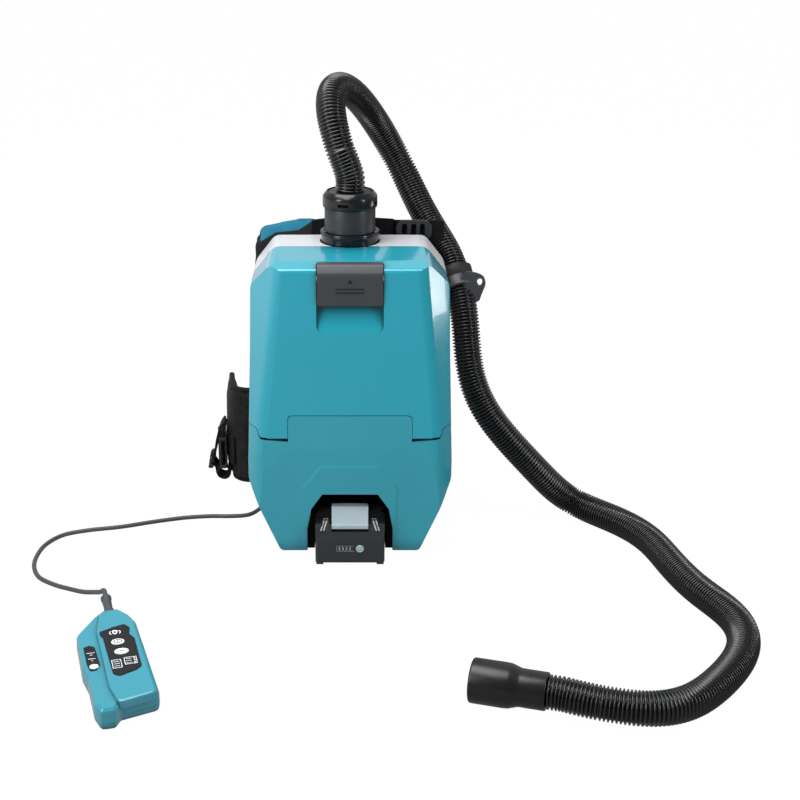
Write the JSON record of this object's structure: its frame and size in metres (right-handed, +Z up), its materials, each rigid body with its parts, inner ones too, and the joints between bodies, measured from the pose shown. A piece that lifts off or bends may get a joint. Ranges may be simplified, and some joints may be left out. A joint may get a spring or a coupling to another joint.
{
  "type": "backpack vacuum cleaner",
  "caption": "Cordless backpack vacuum with a hinged latched cover over its dust bag, slide-in battery, swivel suction hose, corded belt-clip control box and padded harness.",
  "frame": {"origin": "middle of the flat sole of the back frame's foot, on the floor", "axes": "+Z up; +Y from the front cover towards the wearer's back; +X to the right seen from the front"},
  "size_m": [0.7718, 0.6411, 0.5266],
  "materials": {
    "teal_shell": "glossy moulded",
    "white_shell": "semi-gloss moulded",
    "black_plastic": "satin moulded",
    "hose_rubber": "satin black",
    "grey_key": "satin moulded",
    "white_key": "satin moulded",
    "knit_fabric": "knitted mesh and webbing",
    "blue_fabric": "woven",
    "filter_paper": "fibre",
    "steel": "drawn",
    "seal_rubber": "matt",
    "cord_jacket": "satin grey",
    "board": "coated board"
  },
  "bodies": {
    "unit": {"rear_shell": "white_shell", "lower_housing": "teal_shell", "cover_seal_left": "seal_rubber", "cover_seal_right": "seal_rubber", "port_collar": "black_plastic", "hose_fitting": "black_plastic", "bag_holder": "black_plastic", "bag_plate": "filter_paper", "dust_bag": "filter_paper", "filter_deck": "black_plastic", "hepa_filter": "filter_paper", "pre_filter": "black_plastic", "motor_housing": "black_plastic", "motor_mount": "seal_rubber", "motor_can": "steel", "control_board": "board", "battery_bay": "black_plastic", "battery_terminal": "black_plastic", "back_frame": "black_plastic", "back_pad": "knit_fabric", "lumbar_pad": "knit_fabric", "shoulder_pad_left": "blue_fabric", "shoulder_pad_right": "blue_fabric", "strap_yoke": "knit_fabric", "carry_handle": "knit_fabric", "load_slide": "black_plastic", "strap_end": "knit_fabric", "shoulder_webbing_left": "knit_fabric", "shoulder_webbing_right": "knit_fabric", "cord_gland": "cord_jacket", "control_cord": "cord_jacket", "remote_upper_shell": "teal_shell", "remote_lower_shell": "teal_shell", "remote_panel": "black_plastic", "remote_side_panel": "black_plastic", "remote_strain_relief": "cord_jacket", "hose": "hose_rubber", "hose_cuff": "hose_rubber", "hose_band": "black_plastic"},
    "cover": {"front_cover": "teal_shell", "latch_pin": "steel"},
    "latch": {"cover_latch": "black_plastic"},
    "battery": {"battery_case": "black_plastic"},
    "release_key": {"battery_release": "grey_key"},
    "check_key": {"battery_check_button": "grey_key"},
    "swivel": {"hose_sleeve": "black_plastic", "hose_lock_ring": "black_plastic"},
    "fan": {"impeller": "black_plastic"},
    "power_key": {"power_button": "white_key"},
    "mode_key": {"mode_button": "white_key"},
    "side_key": {"side_button": "white_key"},
    "clip": {"belt_clip": "black_plastic"},
    "wing_left": {"hip_wing_left": "knit_fabric", "hip_webbing_left": "knit_fabric", "hip_buckle_left": "black_plastic"},
    "wing_right": {"hip_wing_right": "knit_fabric", "hip_webbing_right": "knit_fabric", "hip_buckle_right": "black_plastic"}
  },
  "joints": [
    {"name": "cover_hinge", "type": "hinge", "parent": "unit", "child": "cover", "pos_m": [0, -0.1611, 0.1515], "axis": [1, 0, 0], "range_deg": [0, 85]},
    {"name": "latch_pivot", "type": "hinge", "parent": "cover", "child": "latch", "pos_m": [0, -0.16, 0.3395], "axis": [-1, 0, 0], "range_deg": [0, 60]},
    {"name": "battery_slide", "type": "slide", "parent": "unit", "child": "battery", "axis": [0, -1, 0], "range_m": [0, 0.13]},
    {"name": "battery_release_press", "type": "slide", "parent": "battery", "child": "release_key", "axis": [0, 0, -1], "range_m": [0, 0.003], "stiffness_N_per_m": 400},
    {"name": "battery_check_press", "type": "slide", "parent": "battery", "child": "check_key", "axis": [0, 1, 0], "range_m": [0, 0.001], "stiffness_N_per_m": 400},
    {"name": "hose_swivel", "type": "hinge", "parent": "unit", "child": "swivel", "pos_m": [0, -0.048, 0.37], "axis": [0, 0, 1], "continuous": true},
    {"name": "fan_spin", "type": "hinge", "parent": "unit", "child": "fan", "pos_m": [0, -0.09, 0.115], "axis": [0, 0, 1], "continuous": true},
    {"name": "power_key_press", "type": "slide", "parent": "unit", "child": "power_key", "axis": [-0.0384, 0.1338, -0.9903], "range_m": [0, 0.001], "stiffness_N_per_m": 400},
    {"name": "mode_key_press", "type": "slide", "parent": "unit", "child": "mode_key", "axis": [-0.0384, 0.1338, -0.9903], "range_m": [0, 0.001], "stiffness_N_per_m": 400},
    {"name": "side_key_press", "type": "slide", "parent": "unit", "child": "side_key", "axis": [-0.0384, 0.1338, -0.9903], "range_m": [0, 0.001], "stiffness_N_per_m": 400},
    {"name": "clip_hinge", "type": "hinge", "parent": "unit", "child": "clip", "pos_m": [-0.23408, -0.38833, 0.00466], "axis": [0.9613, 0.2756, 0], "range_deg": [0, 10], "stiffness_Nm_per_rad": 0.5},
    {"name": "hip_wing_left_hinge", "type": "hinge", "parent": "unit", "child": "wing_left", "pos_m": [-0.106, 0.002, 0.094], "axis": [0, 0, 1], "range_deg": [-45, 15]},
    {"name": "hip_wing_right_hinge", "type": "hinge", "parent": "unit", "child": "wing_right", "pos_m": [0.106, 0.002, 0.094], "axis": [0, 0, 1], "range_deg": [-70, 3]}
  ]
}
